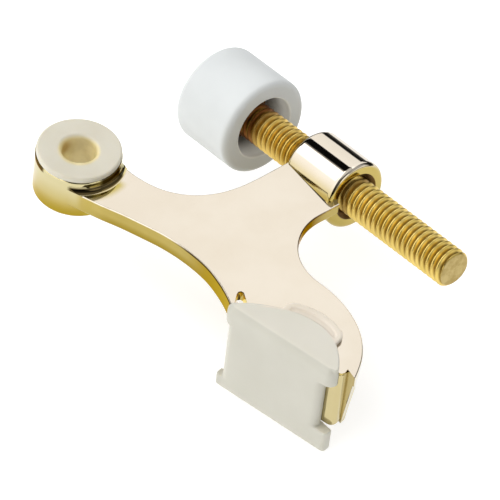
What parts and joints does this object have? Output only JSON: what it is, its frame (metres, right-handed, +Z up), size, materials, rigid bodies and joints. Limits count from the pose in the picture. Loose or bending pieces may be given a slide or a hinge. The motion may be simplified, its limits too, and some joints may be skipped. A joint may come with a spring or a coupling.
{
  "type": "hinge-pin door stop",
  "caption": "Hinge-pin door stop: brass bracket with a nylon-bushed ring, a threaded rod with a rubber bumper, and a soft pad on the foot.",
  "frame": {"origin": "on the hinge-pin bore's axis, level with the top face of the bracket's ring (under the bush's flange)", "axes": "+Z up along the hinge-pin bore; the adjusting rod runs along Y, bumper toward +Y; the foot's pad faces -X"},
  "size_m": [0.0582, 0.083, 0.0261],
  "materials": {
    "polished_brass": "polished",
    "brass_rod": "satin",
    "white_nylon": "matte",
    "white_rubber": "matte",
    "milky_plastic": "satin"
  },
  "bodies": {
    "bracket_body": {"bracket": "polished_brass", "hinge_pin_bush": "white_nylon", "foot_pad": "milky_plastic"},
    "bumper_body": {"rubber_bumper": "white_rubber"},
    "rod_body": {"adjusting_rod": "brass_rod", "bumper_collar": "brass_rod"}
  },
  "joints": [
    {"name": "bumper_travel", "type": "slide", "parent": "bracket_body", "child": "bumper_body", "axis": [0, 0.9925, -0.1219], "range_m": [-0.013, 0.026]},
    {"name": "rod_turn", "type": "hinge", "parent": "bumper_body", "child": "rod_body", "pos_m": [0.0394, -0.0244, -0.00569], "axis": [0, 0.9925, -0.1219], "range_deg": [-3320, 6640]}
  ],
  "couplings": [
    {"joint": "rod_turn", "follows": "bumper_travel", "rad_per_m": 4452.7}
  ]
}
